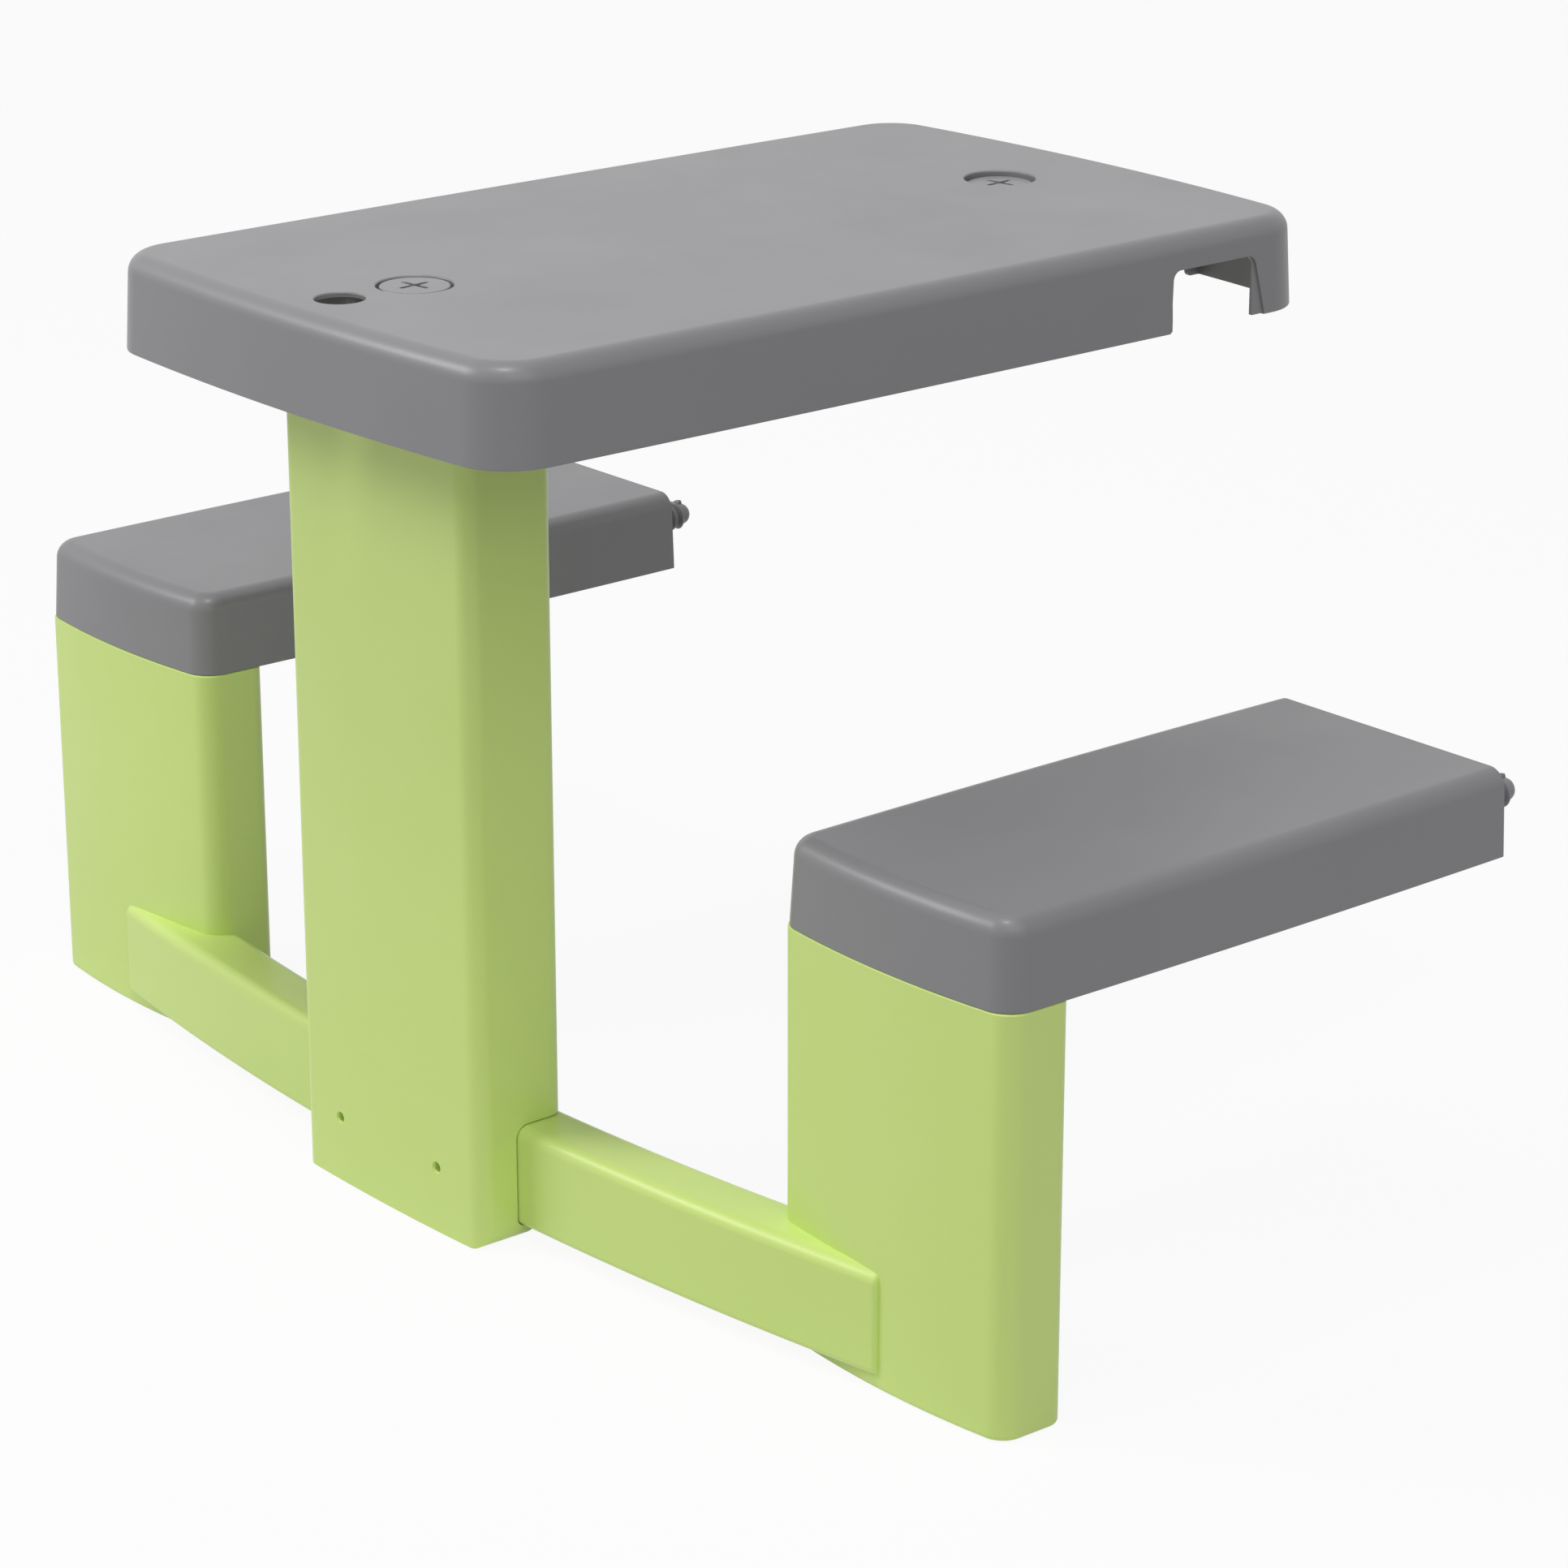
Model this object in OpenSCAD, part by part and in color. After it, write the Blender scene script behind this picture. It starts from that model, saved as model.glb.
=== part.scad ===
// Half picnic table for small children, made of hollow plastic mouldings.
// One broad post and a low curved base carry a table top and two bench seats.
// The house end of the table straddles a thin wall, and both seats butt against it.
// X runs from the outer end to the wall, Y across the table and Z up from the ground.

/* [Table top] */
// Length of the table top from its outer end to its house end
top_length = 568; // [540:1:620]
// Width of the table top across its skirt
top_width = 347; // [320:1:400]
// Height of the table surface above the ground
top_height = 500; // [470:1:560]
// Depth of the skirt round the table top
top_skirt = 51.7; // [48:0.1:60]
// Wall thickness of the table top
top_wall = 2.6; // [2:0.1:3.2]
// Radius of the table top's corners, seen from above
top_corner_r = 28.5; // [20:0.5:40]
// Radius of the rounded upper edge of the table top
top_edge_r = 10; // [6:0.1:14]
// How far the skirt spreads outwards from its top to its rim
top_draft = 1.8; // [0.5:0.1:3]
// Bulge of the outer end
top_outer_bow = 8.3; // [2:0.1:14]
// Bulge of the house end
top_house_bow = 10.7; // [2:0.1:16]
// Bulge of each long side
top_side_bow = 1.45; // [0.2:0.05:4]
// Diameter of the hole for a parasol pole
parasol_d = 26; // [20:0.5:30]
// Clear space between a parasol pole's hole and the post
parasol_gap = 0.5; // [0.2:0.1:2]
// Thickness of the ribs under the table top
top_rib_t = 2.2; // [1.6:0.1:3]
// Distance from one rib under the table top to the next
top_rib_pitch = 66; // [50:1:90]

/* [Wall slot] */
// Thickness of the wall that the table top straddles, with its play
slot_width = 59.8; // [40:0.1:66]
// Height of the slot in the skirt
slot_height = 33.4; // [25:0.1:36]
// Radius of the slot's upper corners
slot_corner_r = 5; // [2:0.5:8]
// Thickness of the flange plate behind the skirt at the slot
flange_t = 2.5; // [1.8:0.1:3]
// Width of the flange plate on each side of the slot
flange_w = 14; // [10:0.5:18]
// Extra width of the cut in the skirt at its rim, on the outer side
slot_flare_outer = 2.7; // [0:0.1:5]
// Extra width of the cut in the skirt at its rim, on the house side
slot_flare_house = 9; // [2:0.1:11]
// Distance from the mid-line to each small gusset at the house end
gusset_offset = 80; // [50:1:110]
// Length of each small gusset along X
gusset_length = 12; // [8:0.5:20]
// Radius of each gusset's lower corner
gusset_corner_r = 3; // [1:0.5:6]

/* [Post] */
// Distance from the table's outer end to the post
post_reach = 51.3; // [46:0.1:70]
// Depth of the post along X
post_depth = 58.9; // [52:0.1:66]
// Width of the post along Y
post_width = 160.4; // [130:0.1:200]
// Radius of the post's upright edges
post_edge_r = 9.5; // [6:0.1:14]
// How far the post's outer face falls back at its edges
post_bow = 2; // [0.5:0.1:4]
// Radius of the post's lower side corners
post_foot_r = 8; // [4:0.5:12]
// Wall thickness of the post
post_wall = 3; // [2.4:0.1:3.4]
// Height of the post's toe under the base beam
toe_height = 8; // [6:0.1:10]
// Length of the toe behind the post's outer face
toe_length = 36.7; // [32:0.1:44]
// Depth of the ribs that hold the post's head
collar_depth = 22; // [16:0.5:30]

/* [Base frame] */
// Distance from the post's outer face to the beam's outer face, on the mid-line
beam_setback = 25.5; // [22:0.1:28]
// Depth of the beam along X
beam_depth = 35.2; // [30:0.1:40]
// Height of the beam
beam_height = 56; // [45:0.1:70]
// Gap between the beam and the ground
beam_lift = 8.3; // [8.2:0.1:12]
// Radius of the arc of the beam's outer face
beam_outer_arc = 2133; // [1800:1:2600]
// Radius of the arc of the beam's house face
beam_house_arc = 1839; // [1600:1:2300]
// Radius of the beam's upper edges
beam_edge_r = 7; // [4.5:0.1:9]
// Distance from a leg's mid-line to the end of the beam
beam_end_gap = 0.6; // [0.3:0.1:30]
// Radius of the beam's lower edges
beam_low_r = 4; // [3.5:0.1:6]
// Depth of each leg along X
leg_depth = 46.9; // [40:0.1:60]
// Radius of each leg's upright edges on the house side
leg_edge_r = 9; // [6:0.1:12]
// Radius of each leg's lower edge
leg_foot_r = 3; // [1:0.1:5]
// Wall thickness of the base frame
base_wall = 3; // [2.4:0.1:3.2]
// Length of the ledge behind each leg that the seat is screwed to
ledge_length = 26; // [20:0.5:36]
// Width of that ledge
ledge_width = 110; // [90:1:130]
// Thickness of that ledge
ledge_t = 5; // [4:0.1:8]

/* [Seats] */
// Distance from the table's outer end to a seat's outer end
seat_reach = 106.1; // [95:0.1:125]
// Length of a seat
seat_length = 347.6; // [335:0.1:365]
// Width of a seat
seat_width = 170.5; // [155:0.1:190]
// Distance from the table's mid-line to a seat's mid-line
seat_offset = 336.4; // [320:0.1:360]
// Height of the seats above the ground
seat_height = 267.8; // [240:0.1:300]
// Depth of a seat's skirt
seat_skirt = 46.2; // [44:0.1:54]
// Wall thickness of a seat
seat_wall = 2.6; // [2:0.1:3.2]
// Radius of a seat's outer corners, seen from above
seat_corner_r = 13.3; // [12:0.1:20]
// Radius of a seat's rounded upper edge
seat_edge_r = 9.7; // [6:0.1:10]
// How far a seat's skirt spreads outwards from its top to its rim
seat_draft = 1.75; // [0.5:0.05:2]
// Bulge of a seat's outer end
seat_outer_bow = 6.35; // [1:0.05:10]
// Bulge of each long side of a seat
seat_side_bow = 1.9; // [0.2:0.1:4]
// Thickness of the ribs under a seat
seat_rib_t = 2.2; // [1.6:0.1:3]
// Depth of the ribs under a seat
seat_rib_depth = 14; // [8:0.5:18]
// Distance from one rib under a seat to the next
seat_rib_pitch = 52; // [40:1:70]

/* [Large screws] */
// Diameter of the thread, over its crests
screw_d = 17.5; // [14:0.1:19]
// Diameter of the plain neck between a head and its thread
screw_neck_d = 16.4; // [12:0.1:17]
// Diameter of the disc head of the table's two screws
screw_head_d = 36.4; // [30:0.1:37]
// Thickness of a disc head
screw_head_t = 3; // [2.4:0.1:3.4]
// Radius of a disc head's edge
screw_head_edge_r = 0.7; // [0.3:0.1:1]
// Length of each slot of the cross in a disc head
cross_length = 20.4; // [14:0.1:22]
// Width of each slot of the cross
cross_width = 2.8; // [1.6:0.1:3.4]
// Width of the square well where the two slots meet
cross_well = 5.4; // [5:0.1:8]
// Depth of the cross
cross_depth = 1.9; // [1:0.1:2]
// Angle at which the cross stands
cross_turn = 6; // [0:1:89]
// Radius of the rounded tip of a screw
screw_tip_r = 5; // [2:0.1:6.5]
// Length of the table's screws below the head
screw_length = 38; // [32:0.5:50]
// Distance from the post's outer face to the axis of the screw into the post
post_screw_setback = 32.7; // [30:0.1:36]
// Depth of the cup for the screw into the post
post_cup_depth = 3.3; // [3.1:0.1:6]
// Distance from the wall's outer face to the axis of the screw into the wall
sill_screw_setback = 31.8; // [20:0.1:40]
// Depth of the cup for the screw into the wall
sill_cup_depth = 5.6; // [3.1:0.1:8]
// Diameter of the cups
cup_d = 40; // [38:0.1:44]
// Width of the bevel at the rim of a cup
cup_bevel = 0.6; // [0.2:0.1:1.2]
// Thickness of a cup's wall and floor
cup_wall = 2.5; // [2:0.1:3]
// Diameter of the disc head of the seats' screws
seat_screw_head_d = 32; // [26:0.1:33]
// How far the seats' screws stand out of the flat end
seat_screw_reach = 28; // [18:0.5:40]
// Distance from a seat's mid-line to each of its screws
seat_screw_spread = 61.2; // [50:0.1:64]
// Distance from a seat's surface down to its screws
seat_screw_drop = 20.6; // [19.5:0.1:24]
// Thickness of the ring round each screw inside the flat end
seat_ring_t = 3; // [2:0.1:5]

/* [Small screws] */
// Distance from the mid-line to each screw through the post
post_fixing_offset = 43.8; // [30:0.1:60]
// Height of the screws through the post
post_fixing_height = 37; // [28:0.1:46]
// Diameter of the driver's hole in the post's outer face
driver_d = 5.6; // [5:0.1:7]
// Diameter of the rounded mouth of that hole
driver_mouth_d = 6.8; // [6:0.1:9]
// Depth of the driver's hole
driver_depth = 15; // [10:0.1:18]
// Diameter of the small screws' shanks
fixing_d = 3.2; // [2.6:0.1:3.6]
// Diameter of the heads of the screws through the post
post_fixing_head_d = 5.2; // [4:0.1:5.2]
// Thickness of the small screws' heads
fixing_head_t = 2.2; // [1.6:0.1:2.8]
// Length of the screws through the post, below the head
post_fixing_length = 26; // [20:0.5:32]
// Distance from a seat's mid-line to each screw through its ledge
seat_fixing_spread = 42; // [30:0.5:48]
// Diameter of the heads of the screws under the seats
seat_fixing_head_d = 8.4; // [6:0.1:10]
// Length of the screws under the seats, below the head
seat_fixing_length = 22; // [16:0.5:28]
// Wall round a small screw's pilot hole
boss_wall = 2.4; // [1.6:0.1:3]

/* [Hidden] */

// Play between pieces that slip together
clearance = 0.3;
// Play round a threaded shank in its own thread
thread_play = 0.1;
// Play round a threaded shank that passes through a plain hole
hole_play = 0.45;
// Play round a self-tapping screw
fixing_play = 0.05;
// Overrun of every cut past the face that it opens
overrun = 2;
// Share of the house side's flare that the skirt's cut already has beside the slot's corner
slot_shoulder_share = 0.2;
// Thickness of the thin slices that a rounded block is drawn over
slice_t = 0.01;
// Straight steps in a bowed end, in a bowed side and in a rounded edge
bow_steps = 8;
side_steps = 4;
edge_steps = 4;

// Places along X, from the table's outer end
outer_x = -top_length / 2;
post_x = outer_x + post_reach;
post_back_x = post_x + post_depth;
beam_x = post_x + beam_setback;
seat_x = outer_x + seat_reach;
leg_back_x = seat_x + leg_depth;
wall_x = seat_x + seat_length;
wall_far_x = wall_x + slot_width;
parasol_x = post_x - parasol_gap - parasol_d / 2;
post_screw_x = post_x + post_screw_setback;
sill_screw_x = wall_x + sill_screw_setback;

// Places along Z, from the ground
top_rim_z = top_height - top_skirt;
slot_top_z = top_rim_z + slot_height;
seat_rim_z = seat_height - seat_skirt;
seat_screw_z = seat_height - seat_screw_drop;
post_top_z = top_height - post_cup_depth - cup_wall;
sill_cup_z = top_height - sill_cup_depth;

// Radius of the bowed outer face of the post
post_face_r = post_width * post_width / (8 * post_bow);
// Half the beam's length
beam_half = seat_offset - beam_end_gap;
// Half the angle of arc that covers the beam
beam_sweep = asin((beam_half + beam_depth) / min(beam_outer_arc, beam_house_arc));
// Fall of the skirt's surface at the top of the slot
slot_fall = top_draft * slot_height / (top_skirt - top_edge_r);

// Facets: small holes and shanks, hull slices, and arcs of large radius
$fn = 48;
hull_fn = 32;
arc_fn = 720;

// Points of an outline with bowed ends and sides, run on by a tail past the house end
function bowed(length, width, outer_bow, house_bow, side_bow, tail) =
    let (
        half_l = length / 2,
        half_w = width / 2,
        from_x = -half_l + outer_bow,
        to_x = half_l - house_bow
    )
    concat(
        [for (i = [0:bow_steps])
            let (t = 1 - 2 * i / bow_steps)
            [-half_l + outer_bow * t * t, t * (half_w - side_bow)]],
        [for (i = [1:side_steps - 1])
            let (s = i / side_steps, t = 2 * s - 1)
            [from_x + s * (to_x - from_x), side_bow * t * t - half_w]],
        [for (i = [0:bow_steps])
            let (t = 2 * i / bow_steps - 1)
            [half_l + tail - house_bow * t * t, t * (half_w - side_bow)]],
        [for (i = [1:side_steps - 1])
            let (s = 1 - i / side_steps, t = 2 * s - 1)
            [from_x + s * (to_x - from_x), half_w - side_bow * t * t]]
    );

// Outline with rounded corners, drawn in by an inset
module rounded(corner_r, inset) {
    offset(r = corner_r - inset, $fn = hull_fn)
        offset(delta = -corner_r)
            children();
}

// Thin slice of an outline at one height
module slice(z, corner_r, inset) {
    translate([0, 0, z])
        linear_extrude(slice_t)
            rounded(corner_r, inset)
                children();
}

// Block over an outline, with drafted sides and a rounded upper edge
module soft_block(height, corner_r, edge_r, draft, inset, below) {
    hull() {
        slice(-below, corner_r, inset)
            children();
        for (i = [0:edge_steps])
            slice(height - edge_r * (1 - sin(90 * i / edge_steps)) - slice_t, corner_r,
                inset + draft + edge_r * (1 - cos(90 * i / edge_steps)))
                children();
    }
}

// Turned pin along -Z from its head: a disc with a rounded edge, a neck and a round-tipped shank
module turned_screw(head_d, head_t, edge_r, neck_d, neck_length, shank_d, length, tip_r) {
    rotate_extrude() {
        square([head_d / 2 - edge_r, head_t]);
        square([head_d / 2, head_t - edge_r]);
        translate([head_d / 2 - edge_r, head_t - edge_r])
            intersection() {
                circle(r = edge_r);
                square(edge_r);
            }
        translate([0, -neck_length])
            square([neck_d / 2, neck_length]);
        translate([0, tip_r - length])
            square([shank_d / 2, length - neck_length - tip_r]);
        translate([0, -length])
            square([shank_d / 2 - tip_r, length - neck_length]);
        translate([shank_d / 2 - tip_r, tip_r - length])
            intersection() {
                circle(r = tip_r);
                translate([0, -tip_r])
                    square(tip_r);
            }
    }
}

// Table top

module top_block(inset, below) {
    translate([0, 0, top_rim_z])
        soft_block(top_skirt - inset, top_corner_r, top_edge_r - inset, top_draft, inset, below)
            polygon(bowed(top_length, top_width, top_outer_bow, top_house_bow, top_side_bow, 0));
}

// Slot for the wall, seen from the side and run through both skirts
module slot_cut() {
    rotate([90, 0, 0])
        linear_extrude(top_width + 2 * overrun, center = true) {
            translate([wall_x, top_rim_z - overrun])
                square([slot_width, slot_height + overrun - slot_corner_r]);
            translate([wall_x + slot_corner_r, top_rim_z])
                square([slot_width - 2 * slot_corner_r, slot_height]);
            for (x = [wall_x + slot_corner_r, wall_far_x - slot_corner_r])
                translate([x, slot_top_z - slot_corner_r])
                    circle(r = slot_corner_r);
        }
}

// Wider, flared cut through the thin skirt in front of the flange plates
module skirt_cut() {
    rotate([90, 0, 0])
        linear_extrude(top_width + 2 * overrun, center = true)
            polygon([
                [wall_x - slot_flare_outer, top_rim_z - overrun],
                [wall_x, slot_top_z - slot_corner_r],
                [wall_x + slot_corner_r, slot_top_z],
                [wall_far_x - slot_corner_r, slot_top_z],
                [wall_far_x + slot_shoulder_share * slot_flare_house, slot_top_z - slot_corner_r],
                [wall_far_x + slot_flare_house, top_rim_z - overrun]
            ]);
}

// Upright flange plates behind the skirt, on both sides of the slot
module slot_flanges() {
    for (side = [-1, 1])
        translate([
            wall_x - flange_w,
            side * (top_width / 2 - slot_fall - top_side_bow / 2 - flange_t / 2) - flange_t / 2,
            top_rim_z
        ])
            cube([slot_width + 2 * flange_w, flange_t, top_skirt - top_wall / 2]);
}

// Ribs under the flat of the table top, level with the top of the slot
module top_ribs() {
    rib_x = post_back_x + clearance + top_rib_t;
    rib_length = top_length / 2 - rib_x;
    columns = floor(top_width / 2 / top_rib_pitch);
    rows = floor(rib_length / top_rib_pitch);
    for (i = [-columns:columns])
        translate([rib_x, i * top_rib_pitch - top_rib_t / 2, slot_top_z])
            cube([rib_length, top_rib_t, top_height - slot_top_z - top_wall / 2]);
    for (i = [1:rows])
        translate([rib_x + i * top_rib_pitch, -top_width / 2, slot_top_z])
            cube([top_rib_t, top_width, top_height - slot_top_z - top_wall / 2]);
}

// Small gussets that stiffen the skirt at the house end, each with a rounded lower corner
module top_gussets() {
    length = gusset_length + top_wall;
    height = top_skirt - top_wall / 2;
    for (side = [-1, 1])
        translate([top_length / 2 - length, side * gusset_offset + top_rib_t / 2, top_rim_z])
            rotate([90, 0, 0])
                linear_extrude(top_rib_t) {
                    translate([0, gusset_corner_r])
                        square([length, height - gusset_corner_r]);
                    translate([gusset_corner_r, 0])
                        square([length - gusset_corner_r, height]);
                    translate([gusset_corner_r, gusset_corner_r])
                        circle(r = gusset_corner_r);
                }
}

// Rib that runs round the head of the post
module post_collar() {
    translate([0, 0, post_top_z - collar_depth])
        linear_extrude(top_height - post_top_z + collar_depth - top_wall / 2)
            difference() {
                post_plan(-clearance - top_rib_t);
                post_plan(-clearance);
            }
}

// Cup under a disc head, with the ring that stands on what lies below it
module cup_boss(x, cup_z, seat_z) {
    translate([x, 0, cup_z - cup_wall])
        cylinder(d = cup_d + 2 * cup_wall, h = top_height - cup_z + cup_wall - top_wall / 2);
    translate([x, 0, seat_z])
        cylinder(d = screw_d + 2 * hole_play + 4 * cup_wall, h = cup_z - seat_z);
}

module cup_cut(x, cup_z, seat_z) {
    translate([x, 0, cup_z])
        cylinder(d = cup_d, h = top_height - cup_z + overrun);
    translate([x, 0, top_height - cup_bevel])
        cylinder(d1 = cup_d, d2 = cup_d + 2 * cup_bevel, h = cup_bevel);
    translate([x, 0, seat_z - overrun])
        cylinder(d = screw_d + 2 * hole_play, h = top_height - seat_z + overrun);
}

module table_top() {
    color("#949396")
        difference() {
            union() {
                difference() {
                    top_block(0, 0);
                    top_block(top_wall, overrun);
                    skirt_cut();
                }
                difference() {
                    intersection() {
                        top_block(top_wall / 2, 0);
                        union() {
                            slot_flanges();
                            top_ribs();
                            top_gussets();
                            post_collar();
                            cup_boss(post_screw_x, top_height - post_cup_depth, post_top_z);
                            cup_boss(sill_screw_x, sill_cup_z, slot_top_z);
                        }
                    }
                    translate([parasol_x, 0, top_rim_z - overrun])
                        cylinder(d = parasol_d + 2 * top_rib_t, h = top_skirt + overrun - top_wall);
                }
            }
            slot_cut();
            cup_cut(post_screw_x, top_height - post_cup_depth, post_top_z);
            cup_cut(sill_screw_x, sill_cup_z, slot_top_z);
            translate([parasol_x, 0, top_height - top_wall - overrun])
                cylinder(d = parasol_d, h = top_wall + 2 * overrun);
        }
}

// Post

// The post seen from above, drawn in by an inset
module post_plan(inset) {
    rounded(post_edge_r, inset)
        intersection() {
            translate([post_x, -post_width / 2])
                square([post_depth, post_width]);
            translate([post_x + post_face_r, 0])
                circle(r = post_face_r, $fn = arc_fn);
        }
}

// The post seen from the front, with rounded lower corners, run through in X
module post_front(inset) {
    half_w = post_width / 2 - inset;
    corner_r = post_foot_r - inset;
    translate([post_x - overrun, 0, 0])
        rotate([90, 0, 90])
            linear_extrude(post_depth + 2 * overrun) {
                translate([-half_w, post_foot_r])
                    square([2 * half_w, post_top_z - post_foot_r - inset]);
                translate([corner_r - half_w, inset])
                    square([2 * (half_w - corner_r), post_foot_r]);
                for (side = [-1, 1])
                    translate([side * (half_w - corner_r), post_foot_r])
                        circle(r = corner_r);
            }
}

// Section through one curved face of the beam, with its rounded edges, grown all round
module beam_edge(depth, grow) {
    high_r = beam_edge_r + grow;
    low_r = beam_low_r + grow;
    low_z = beam_lift - grow;
    high_z = beam_lift + beam_height + grow;
    translate([-depth, low_z])
        square([depth + grow - high_r, high_z - low_z]);
    translate([-depth, low_z])
        square([depth + grow - low_r, high_z - low_z - high_r]);
    translate([-depth, low_z + low_r])
        square([depth + grow, high_z - low_z - low_r - high_r]);
    translate([grow - high_r, high_z - high_r])
        circle(r = high_r);
    translate([grow - low_r, low_z + low_r])
        circle(r = low_r);
}

// Ring behind the beam's outer face, turned about that face's own centre
module beam_outer_ring(depth, grow) {
    translate([beam_x + beam_outer_arc, 0, 0])
        rotate([0, 0, 180 - beam_sweep])
            rotate_extrude(angle = 2 * beam_sweep, $fn = arc_fn)
                translate([beam_outer_arc, 0])
                    beam_edge(depth, grow);
}

// Ring before the beam's house face, turned about that face's own centre
module beam_house_ring(depth, grow) {
    translate([beam_x + beam_depth + beam_house_arc, 0, 0])
        rotate([0, 0, 180 - beam_sweep])
            rotate_extrude(angle = 2 * beam_sweep, $fn = arc_fn)
                translate([beam_house_arc, 0])
                    mirror([1, 0])
                        beam_edge(depth, grow);
}

module beam(grow) {
    intersection() {
        beam_outer_ring(2 * beam_depth, grow);
        beam_house_ring(2 * beam_depth, grow);
        translate([post_x, -beam_half - grow, 0])
            cube([2 * beam_depth + leg_depth, 2 * (beam_half + grow), beam_lift + 2 * beam_height]);
    }
}

// Space in the post for the beam, open towards the house and round the toe's tip
module beam_space(grow, tip_r) {
    beam_outer_ring(2 * post_depth, grow);
    difference() {
        translate([post_x + toe_length - toe_height / 2 - grow, -post_width, -overrun])
            cube([post_depth, 2 * post_width, overrun + beam_lift]);
        translate([post_x + toe_length - toe_height / 2, 0, toe_height / 2])
            rotate([90, 0, 0])
                cylinder(r = tip_r, h = 2 * post_width, center = true);
    }
}

// Place and direction of each screw through the post, along +X from its outer face
module at_post_fixings(sides) {
    for (side = sides)
        translate([post_x, side * post_fixing_offset, post_fixing_height])
            rotate([0, 90, 0])
                children();
}

module table_post() {
    color("#b7cd7b")
        difference() {
            intersection() {
                linear_extrude(post_top_z)
                    post_plan(0);
                post_front(0);
            }
            difference() {
                intersection() {
                    linear_extrude(post_top_z)
                        post_plan(post_wall);
                    post_front(post_wall);
                }
                beam_space(post_wall + clearance, toe_height / 2 - post_wall - clearance);
                at_post_fixings([-1, 1])
                    cylinder(d = driver_d + 2 * boss_wall, h = beam_setback);
                translate([post_screw_x, 0, post_top_z - screw_length - 2 * post_wall])
                    cylinder(d = screw_d + 4 * boss_wall, h = screw_length + 2 * post_wall);
            }
            beam_space(clearance, toe_height / 2);
            translate([post_screw_x, 0, post_top_z - screw_length])
                cylinder(d = screw_d + 2 * thread_play, h = screw_length + overrun);
            at_post_fixings([-1, 1]) {
                translate([0, 0, -overrun])
                    cylinder(d = driver_d, h = driver_depth + overrun);
                cylinder(d1 = driver_mouth_d, d2 = driver_d,
                    h = (driver_mouth_d - driver_d + post_bow) / 2);
                cylinder(d = fixing_d + 2 * fixing_play, h = 2 * beam_setback);
            }
        }
}

// Seats

// A seat's outline at its rim, longer than the seat so that it can be cut off square
module seat_plan() {
    translate([seat_x + seat_length / 2, 0])
        polygon(bowed(seat_length, seat_width, seat_outer_bow, 0, seat_side_bow, 2 * seat_corner_r));
}

module seat_block(inset, below) {
    translate([0, 0, seat_rim_z])
        soft_block(seat_skirt - inset, seat_corner_r, seat_edge_r - inset, seat_draft, inset, below)
            seat_plan();
}

// Space up to a distance from the wall's face
module up_to_wall(gap) {
    translate([seat_x - overrun, -seat_width, 0])
        cube([seat_length + overrun - gap, 2 * seat_width, 2 * seat_height]);
}

// Place of each large screw of a seat, with its head inside and its shank along +X
module at_seat_screws(sides) {
    for (side = sides)
        translate([wall_x - seat_wall - seat_ring_t, side * seat_screw_spread, seat_screw_z])
            rotate([0, -90, 0])
                children();
}

module seat_ribs() {
    rib_end_x = wall_x - seat_wall - seat_ring_t - 2 * screw_head_t;
    rib_z = seat_height - seat_wall - seat_rib_depth;
    rib_h = seat_rib_depth + seat_wall / 2;
    for (i = [-1:1])
        translate([seat_x, i * seat_rib_pitch - seat_rib_t / 2, rib_z])
            cube([rib_end_x - seat_x, seat_rib_t, rib_h]);
    for (x = [seat_x + seat_rib_pitch:seat_rib_pitch:rib_end_x - seat_rib_t])
        translate([x, -seat_width / 2, rib_z])
            cube([seat_rib_t, seat_width, rib_h]);
}

// Bosses that stand on the ledge behind the leg
module at_seat_fixings() {
    for (side = [-1, 1])
        translate([leg_back_x + ledge_length / 2, side * seat_fixing_spread, seat_rim_z])
            children();
}

module seat(side) {
    color("#949396")
        translate([0, side * seat_offset, 0])
            difference() {
                union() {
                    difference() {
                        intersection() {
                            seat_block(0, 0);
                            up_to_wall(0);
                        }
                        intersection() {
                            seat_block(seat_wall, overrun);
                            up_to_wall(seat_wall);
                        }
                    }
                    intersection() {
                        seat_block(seat_wall / 2, 0);
                        up_to_wall(0);
                        union() {
                            seat_ribs();
                            at_seat_fixings()
                                cylinder(d = fixing_d + 4 * boss_wall, h = seat_skirt - seat_wall / 2);
                            at_seat_screws([-1, 1])
                                translate([0, 0, -seat_ring_t - seat_wall / 2])
                                    cylinder(d = screw_d + 4 * cup_wall, h = seat_ring_t + seat_wall / 2);
                        }
                    }
                }
                at_seat_screws([-1, 1])
                    translate([0, 0, -seat_ring_t - seat_wall - overrun])
                        cylinder(d = screw_d + 2 * hole_play, h = seat_ring_t + seat_wall + 2 * overrun);
                at_seat_fixings()
                    translate([0, 0, -overrun])
                        cylinder(d = fixing_d + 2 * fixing_play, h = seat_fixing_length + overrun);
            }
}

// Base frame

// A leg seen from above: the seat's own outline, ended by two round edges behind
module leg_plan(inset) {
    half_l = seat_length / 2;
    share = (leg_back_x - leg_edge_r - seat_x - half_l) / half_l;
    side_y = seat_width / 2 - seat_side_bow * share * share;
    intersection() {
        rounded(seat_corner_r, inset)
            seat_plan();
        translate([seat_x - overrun, -seat_width])
            square([leg_depth - 2 * leg_edge_r + overrun, 2 * seat_width]);
    }
    for (side = [-1, 1])
        translate([leg_back_x - leg_edge_r, side * (side_y - leg_edge_r)])
            circle(r = leg_edge_r - inset, $fn = hull_fn);
}

module leg_slice(z, inset) {
    translate([0, 0, z])
        linear_extrude(slice_t)
            leg_plan(inset);
}

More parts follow.
